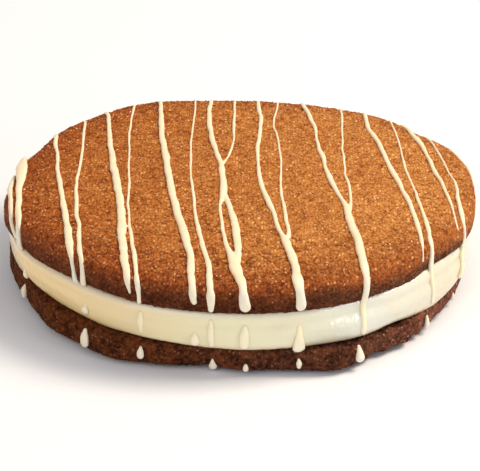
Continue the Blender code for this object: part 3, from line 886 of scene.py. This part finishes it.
# Each row is a spot on the unrolled top, in millimetres from its middle, and the strand's width there.
strand_groups = {
    "icing_strands_left": (
        [(-40.9, 5, 0.9), (-40.7, 2.5, 1.15), (-40.6, -0.8, 1.25), (-40.5, -4, 1.15), (-40, -7.2, 0.85),
         (-39.8, -10.2, 1), (-39.8, -12.5, 1.15), (-40.2, -14, 1.1), (-41, -16.2, 1)],
        [(-43.5, 17.5, 1.8), (-40.3, 15, 2.2), (-39.6, 11.5, 2.3), (-39.2, 7.5, 2.2), (-39, 3, 2),
         (-39, -1.2, 1.45), (-38.8, -4.8, 1.25), (-38.4, -8.5, 1.1), (-38.3, -11.5, 1.1),
         (-38, -14.5, 1.25), (-38.2, -16.3, 1.4), (-39.2, -17.4, 1.6), (-41, -18.4, 1.6)],
        [(-37.5, 27.5, 0.8), (-35.21, 24.5, 0.85), (-34.1, 21.3, 0.85), (-33.93, 16.9, 0.85),
         (-33.33, 13.2, 0.7), (-32.73, 5.9, 0.75), (-32.33, 2.3, 0.8), (-31.83, -1.2, 0.95),
         (-30.93, -8.2, 1), (-30.01, -14.8, 1.15), (-29.6, -18.1, 1.25), (-29.1, -21.3, 1.4),
         (-28.8, -24.5, 1.4), (-28.4, -27.2, 1.3), (-28.2, -29.1, 1.05), (-28.5, -30.3, 0.9),
         (-29.1, -31.4, 0.95), (-29.8, -32.4, 1.15), (-30.2, -32.9, 1.25)],
        [(-32, 33, 0.6), (-30.2, 30.5, 0.6), (-29.1, 28.1, 0.6), (-29, 20.7, 0.6), (-28.8, 17, 0.55),
         (-28.8, 5.9, 0.6), (-28.9, 2.4, 0.65), (-28.8, -4.7, 0.65), (-28.5, -8.1, 0.8),
         (-28, -14.8, 0.75), (-27.5, -18, 0.8), (-27.2, -21.3, 0.8), (-26.8, -27.6, 0.9),
         (-26.4, -29.9, 0.85), (-26.4, -31.5, 0.95), (-26.9, -32.6, 0.95), (-27.8, -33.6, 1.1),
         (-28.3, -34.2, 1.2)],
        [(-29.5, 39.5, 0.7), (-27.3, 36.5, 0.8), (-25.2, 32.6, 0.85), (-24.64, 28.5, 0.9),
         (-24.32, 24.6, 0.95), (-23.92, 16.9, 1), (-23.32, 13.2, 1.1), (-22.72, 5.9, 1.35),
         (-22.12, 2.3, 1.4), (-21.82, -1.2, 1.5), (-21, -8.1, 1.45), (-20.3, -14.8, 1.5),
         (-20.1, -18.1, 1.6), (-19.8, -24.4, 1.5), (-19.2, -30.7, 1.5), (-19, -33.7, 1.35),
         (-18.6, -36, 1.35), (-18.6, -37.4, 1.1), (-18.8, -38.8, 0.65), (-19.1, -39.6, 0.45)],
        [(-20.6, 41.5, 0.5), (-20.2, 36.7, 0.5), (-20.3, 32.4, 0.55), (-20.5, 28.5, 0.45),
         (-20.5, 20.7, 0.5), (-20.2, 13.2, 0.42), (-20, 5.9, 0.45), (-19.6, -1.1, 0.5),
         (-19.5, -8.1, 0.55), (-19.4, -11.1, 0.55), (-19, -14.8, 0.5), (-18.9, -18.1, 0.5),
         (-18.5, -21.3, 0.7), (-18.2, -24.5, 0.75), (-17.9, -27.6, 0.8), (-17.5, -30.7, 0.85),
         (-17.2, -33.7, 0.85), (-17, -36.3, 0.8), (-16.9, -37.9, 0.95), (-17.1, -39.3, 0.9),
         (-17.6, -40.6, 0.85), (-18, -41.6, 0.9)],
        [(-16.3, 45.5, 0.9), (-15.5, 43, 0.8), (-15.1, 36.5, 0.85), (-15, 32.5, 1), (-14.8, 28.5, 1.05),
         (-14.41, 20.7, 1.1), (-14.13, 16.9, 1.25), (-13.33, 9.6, 1.3), (-13.13, 5.9, 1.2),
         (-12.33, -1.2, 1.35), (-11.63, -8.1, 1.3), (-11.13, -11.4, 1.5), (-10.63, -14.8, 1.45),
         (-9.6, -21.3, 1.45), (-8.7, -27.5, 1.5), (-8.2, -30.7, 1.35), (-8, -36.7, 1.3),
         (-7.9, -39.4, 1.35), (-7.8, -41, 1.4), (-7.8, -42.3, 1.35), (-7.8, -43.4, 0.95)],
    ),
    "icing_strands_middle": (
        [(-8.8, 42.5, 0.5), (-8.6, 36.5, 0.42), (-8.5, 32.4, 0.42), (-8.8, 24.6, 0.42), (-9, 16.9, 0.42),
         (-8.9, 9.5, 0.5), (-8.8, 2.3, 0.42), (-8.5, -1.2, 0.55), (-8, -8.1, 0.6), (-7.7, -14.8, 0.65),
         (-7.3, -18, 0.75), (-7, -21.3, 0.9), (-6.5, -24.5, 0.8), (-6.2, -27.5, 0.95), (-5.6, -30.6, 0.9),
         (-5.2, -33.7, 1.05), (-5, -36.8, 1.1), (-4.9, -39.6, 1.15), (-4.8, -41.3, 1.2),
         (-4.8, -42.6, 1.4), (-4.9, -44, 1.3), (-5, -45, 1.1)],
        [(-5.8, 46, 1), (-5.6, 43, 0.8), (-5.6, 36.6, 0.9), (-5.9, 32.5, 0.85), (-5.6, 24.5, 1.05),
         (-5.3, 20.7, 0.95), (-4.9, 16.9, 1.05), (-4.4, 13.1, 0.9), (-4, 9.5, 1), (-3.4, 5.9, 1.1),
         (-3.2, 2.3, 1.2), (-2.9, -1.1, 1.2), (-2.8, -4.7, 1.35), (-2.9, -7, 1.3), (-3.2, -9.2, 0.8),
         (-3.5, -11.5, 0.6), (-3.3, -14.8, 0.6), (-3.1, -18, 0.7), (-2.9, -21.4, 0.7),
         (-2.5, -24.4, 0.75), (-2.2, -27.5, 0.85), (-1.6, -30, 1.2), (-0.9, -33.7, 1.9),
         (-0.4, -36.7, 1.95), (0.2, -39.7, 1.7), (0.5, -41.5, 1.35), (0.6, -42.8, 1.6), (0.9, -44.6, 1.9)],
        [(-2.8, -5.5, 0.9), (-2.4, -7.9, 1), (-1.8, -11.5, 1.05), (-1.4, -14.9, 1.15), (-1, -18.1, 1.25),
         (-0.7, -21.3, 1.5), (-0.5, -24.5, 1.3), (-0.3, -27.5, 1.4), (-0.4, -30, 1.3), (-0.6, -33.7, 1.5)],
        [(-1, 42, 0.5), (-1, 36.5, 0.55), (-1.1, 28.6, 0.55), (-1.1, 24.6, 0.6), (-1.1, 20.7, 0.45),
         (-1.2, 16.9, 0.42), (-1.6, 13.1, 0.5), (-2.2, 9.5, 0.45), (-2.9, 6.8, 0.5), (-3.3, 5, 0.6)],
        [(3.2, 45, 0.9), (3.3, 42.5, 0.7), (3.5, 36.6, 0.8), (3.6, 32.5, 0.8), (3.98, 28.6, 0.85),
         (3.6, 20.7, 0.8), (3.2, 13.2, 0.8), (3.2, 9.5, 0.75), (3.3, 5.9, 0.6), (3.4, 2.3, 0.8),
         (3.6, -1.2, 0.85), (4, -4.7, 0.9), (4.69, -8.1, 1.05), (5.2, -11.5, 1.1), (5.8, -14.8, 0.85),
         (6.1, -18.1, 0.8), (6.6, -21.3, 0.8), (7.2, -23.7, 1), (7.8, -26.1, 1.6), (8.1, -27.6, 1.45),
         (8.6, -30.6, 1.55), (9, -33.7, 1.5), (9.2, -36.7, 1.6), (9.4, -39.4, 1.8), (9.7, -40.9, 1.6),
         (10.1, -42.1, 1.65), (10.5, -43.2, 1.9), (10.6, -43.8, 1.9)],
        [(7.5, 42, 0.45), (7.3, 36.6, 0.45), (6.8, 32.5, 0.42), (6.4, 28.5, 0.42), (6.3, 24.5, 0.42),
         (6.8, 20.7, 0.5), (7, 16.9, 0.45), (7.2, 13.2, 0.42), (7.4, 5.9, 0.45), (7.2, -1.2, 0.5),
         (7.2, -4.7, 0.6), (7.3, -8.1, 0.55), (7.6, -11.5, 0.65), (7.8, -14.8, 0.7), (7.9, -18, 0.8),
         (8.2, -21.4, 0.8), (8.1, -24.2, 0.9)],
    ),
    "icing_strands_right": (
        [(10.9, 45.5, 0.9), (11.3, 42.5, 0.8), (12, 36.8, 0.95), (12.9, 32.5, 0.85), (13.43, 28.6, 0.9),
         (13.9, 24.6, 0.7), (14.2, 17, 0.6), (14.4, 13.2, 0.8), (15, 9.5, 0.95), (15.2, 5.9, 0.75),
         (15.6, 2.3, 0.9), (16.1, -1.2, 1.15), (16.7, -4.6, 0.9), (17.45, -8.1, 0.8), (18.2, -11.5, 1),
         (18.5, -14.8, 1.3), (18.8, -18, 1.4), (19.2, -21.3, 1.5), (19.7, -24.5, 1.5),
         (19.9, -27.6, 1.5), (20.2, -30.7, 1.4), (20.4, -33.7, 1.5), (20.6, -35.7, 1.35),
         (21.1, -36.9, 1.35), (21.8, -38.2, 1.35), (22.3, -39.5, 1.3), (22.8, -40.9, 1.15),
         (24, -43.3, 1), (25.2, -45.4, 1.05)],
        [(19.6, 40.5, 0.5), (19.2, 34.9, 0.5), (19.2, 28.5, 0.5), (18.9, 20.8, 0.42), (18.7, 13.2, 0.45),
         (18.8, 9.5, 0.5), (18.7, 2.3, 0.45), (19.1, -1.2, 0.6), (19.2, -4.7, 0.55), (19.3, -8.1, 0.6),
         (19.2, -11.5, 0.7), (18.8, -14, 0.8)],
        [(25.2, 40.5, 0.9), (23.8, 37.5, 0.8), (23.7, 32.8, 0.85), (24, 24.6, 0.85), (24.8, 20.7, 0.95),
         (25.5, 16.9, 0.95), (26, 13.1, 0.9), (26.4, 9.5, 0.85), (27, 5.9, 0.95), (27.6, 2.4, 1.1),
         (28.2, -1.2, 0.95), (28.6, -4.6, 0.8), (29.2, -8.1, 1), (29.5, -11.5, 0.8), (29.9, -14.8, 0.85),
         (30.2, -18.1, 0.9), (30.5, -21.3, 0.75), (30.6, -24.2, 0.75), (30.9, -26.4, 0.45),
         (32, -27.8, 0.5)],
        [(28.5, 33, 0.45), (28.4, 28.1, 0.42), (28.8, 24.6, 0.42), (29.2, 16.9, 0.42), (29.5, 9.5, 0.45),
         (29.7, 5.9, 0.55), (30, 2.3, 0.42), (30.5, -1.2, 0.45), (30.8, -4.7, 0.5), (31, -8.1, 0.65),
         (31.6, -14.8, 0.65), (31.9, -18.1, 0.85), (32, -21.3, 0.8), (32.2, -23.5, 0.95),
         (33, -24.6, 0.95), (34, -25.6, 1.1), (35, -26.7, 1.15), (36, -28.1, 1.05), (38.5, -29.3, 0.85),
         (40.8, -30.5, 0.75)],
        [(32, 33.5, 0.9), (30.5, 30.5, 0.8), (31.4, 25.5, 0.9), (32.4, 20.2, 1), (33.3, 17.2, 1),
         (33.8, 13.7, 0.75), (34.4, 9.5, 0.8), (35, 4.5, 0.85), (35.8, 0.5, 0.75), (36.2, -3.8, 0.7),
         (36.6, -8.2, 0.6), (36.8, -12.3, 0.42), (37.1, -16.2, 0.42), (37.8, -17.5, 0.42)],
        [(33.5, 25.5, 0.42), (34.5, 22, 0.42), (35.3, 18.6, 0.42), (36, 14.1, 0.45), (36.8, 9.6, 0.42),
         (37.5, 4.1, 0.42), (38, 1.4, 0.5), (38.2, -2.1, 0.6), (38.1, -6, 0.75), (38.1, -10.2, 0.8),
         (38.3, -13.6, 0.95), (38.8, -15.6, 0.9), (40.3, -15.8, 0.85), (41.6, -16.5, 1),
         (43.5, -17.5, 1.3), (46, -18.6, 1.6), (47.2, -19.5, 1.5)],
        [(38.5, 16.5, 0.5), (40.7, 12.9, 0.6), (41.5, 10, 0.85), (42.1, 6.8, 0.8), (42.4, 4, 0.6),
         (42.3, 1.5, 0.45)],
    ),
}
for group_name, strands in strand_groups.items():
    runs = [run_icing(strand, STRAND_PLUMP, seed) for seed, strand in enumerate(strands)]
    icing_mesh = remeshed(joined(runs), ICING_VOXEL, ICING_SMOOTHING)
    icing = finished(group_name, icing_mesh, royal_icing)
    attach(icing, "root")


# ---------------------------------------------------------------------------------------------
# Icing drips. Where the drizzle ran past the rim it left drops of the same icing on the cream and
# on the wall of the lower biscuit: narrow above and round below.

# Direction in degrees, height of the top and of the foot, and the width at the top, half way down
# and at the foot, in millimetres.
cream_drips = (
    (-153, 8.6, 7.2, 0.6, 1.1, 1.4), (-129, 8.4, 7.0, 0.6, 1.3, 1.7), (-113, 10.3, 6.7, 0.6, 1.2, 0.7),
    (-100.2, 8.0, 6.0, 0.5, 1.3, 1.75), (-96.5, 10.4, 5.7, 0.6, 1.4, 0.8),
    (-89, 9.4, 5.6, 0.9, 1.75, 1.6), (-76.6, 8.8, 4.4, 0.8, 1.5, 2.1),
    (148, 9.4, 6.4, 0.6, 1.3, 1.5), (112, 10.6, 6.2, 0.7, 1.2, 1.3), (84, 10.2, 6.0, 0.6, 1.3, 0.8),
    (52, 9.0, 5.8, 0.6, 1.2, 1.4), (20, 10.4, 7.2, 0.6, 1.4, 0.9),
)
biscuit_drips = (
    (-156.5, 4.3, 2.3, 0.6, 1.5, 1.5), (-127.5, 4.6, 1.8, 0.7, 1.6, 1.8),
    (-113, 4.0, 2.2, 0.5, 1.2, 1.3), (-96.5, 2.3, 0.7, 0.4, 0.9, 1.45),
    (-88.7, 2.0, 1.0, 0.6, 0.95, 1.0), (-76.8, 3.0, 1.5, 0.5, 1.0, 0.75),
    (-63, 4.1, 1.8, 0.6, 1.1, 1.5), (-39.2, 3.3, 1.3, 0.5, 0.9, 1.2), (-22.7, 2.4, 1.2, 0.5, 0.8, 0.9),
    (148, 3.4, 1.4, 0.5, 1.0, 1.3), (131, 4.2, 1.6, 0.5, 0.9, 1.2), (98, 3.2, 1.3, 0.5, 1.0, 1.3),
    (71, 3.8, 1.5, 0.5, 1.0, 1.4), (36, 3.0, 1.2, 0.5, 0.8, 1.1),
)
# The drops on the biscuit stand a little higher. Each drop wavers in its own way, by its seed.
BISCUIT_DRIP_PLUMP = 0.5
FIRST_DRIP_SEED = 50
DRIP_VOXEL = 0.12 * MM
drops = []
for plump, drips in ((STRAND_PLUMP, cream_drips), (BISCUIT_DRIP_PLUMP, biscuit_drips)):
    for direction, top, foot, top_width, middle_width, foot_width in drips:
        angle = math.radians(direction)
        rows = []
        for share, wide in ((0, top_width), (0.5, middle_width), (1, foot_width)):
            height = top + share * (foot + 0.3 * foot_width - top)
            way = float(wall_way(angle, height))
            rows.append((way * math.cos(angle), way * math.sin(angle), wide))
        drops.append(run_icing(rows, plump, FIRST_DRIP_SEED + len(drops)))
drip_mesh = remeshed(joined(drops), DRIP_VOXEL, ICING_SMOOTHING)
icing_drips = finished("icing_drips", drip_mesh, royal_icing)
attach(icing_drips, "root")


# ---------------------------------------------------------------------------------------------
# Sugar grains. Coarse amber sugar that was rolled into the dough: it stands out of the baked crust
# as tiny clear cubes, mostly on the upper biscuit's top.

GRAIN_COUNT = 3200
# In millimetres: how far out they lie, and the side of the smallest and of the largest.
GRAINS_REACH = 40.4
GRAIN_SIDES = (0.14, 0.3)
dice = random.Random(11)
grains = bmesh.new()
for k in range(GRAIN_COUNT):
    angle = dice.uniform(-math.pi, math.pi)
    way = GRAINS_REACH * math.sqrt(dice.random())
    spot, out = laid_on(way * math.cos(angle), way * math.sin(angle))
    side = dice.uniform(*GRAIN_SIDES)
    tipped = Matrix.Rotation(dice.uniform(0, math.pi), 4, "X")
    turn = tipped @ Matrix.Rotation(dice.uniform(0, math.pi), 4, "Z")
    shape = Matrix.Diagonal((1, dice.uniform(0.6, 1), dice.uniform(0.5, 0.9), 1))
    seat = Matrix.Translation((spot - 0.25 * side * out) * MM)
    bmesh.ops.create_cube(grains, size=side * MM, matrix=seat @ turn @ shape)
grain_mesh = bpy.data.meshes.new("sugar")
grains.to_mesh(grain_mesh)
grains.free()
grain_places = points_of(grain_mesh)[0]
grain_angle, grain_reach = polar(grain_places)
keep_value(grain_mesh, "edge_way", edge_way(grain_angle, grain_reach, grain_places[:, 2]))
# Cane sugar, crystallised: small clear faces with a sharp glint, honey-coloured from the bake and
# browner on the burnt rim.
cane_sugar, sugar_shader = new_material("baked_cane_sugar")
sugar_around = add_node(cane_sugar, "ShaderNodeTexCoord", output="Object")
sugar_way = add_node(cane_sugar, "ShaderNodeAttribute", output="Fac", attribute_name="edge_way")
# One grain differs from the next: the colour changes within 0.7 mm.
sugar_cells = add_node(cane_sugar, "ShaderNodeTexNoise",
                       {"Vector": sugar_around, "Scale": 1 / (0.7 * MM), "Detail": 1}, "Fac")
sugar_colour = linear("#B9733A")
for value, start, end, tone in (
    (sugar_cells, 0.35, 0.65, "#E5A86E"),
    (sugar_way, -4.0, 0.5, "#8A5330"),
):
    share = add_node(cane_sugar, "ShaderNodeMapRange",
                     {"Value": value, "From Min": start, "From Max": end}, "Result")
    sugar_colour = add_node(cane_sugar, "ShaderNodeMix",
                            {"Factor": share, 6: sugar_colour, 7: linear(tone)}, 2, data_type="RGBA")
set_inputs(sugar_shader, {"Base Color": sugar_colour, "Roughness": 0.25, "IOR": 1.54})
sugar_grains = finished("sugar_grains", grain_mesh, cane_sugar)
grain_mesh.shade_flat()
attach(sugar_grains, "root")
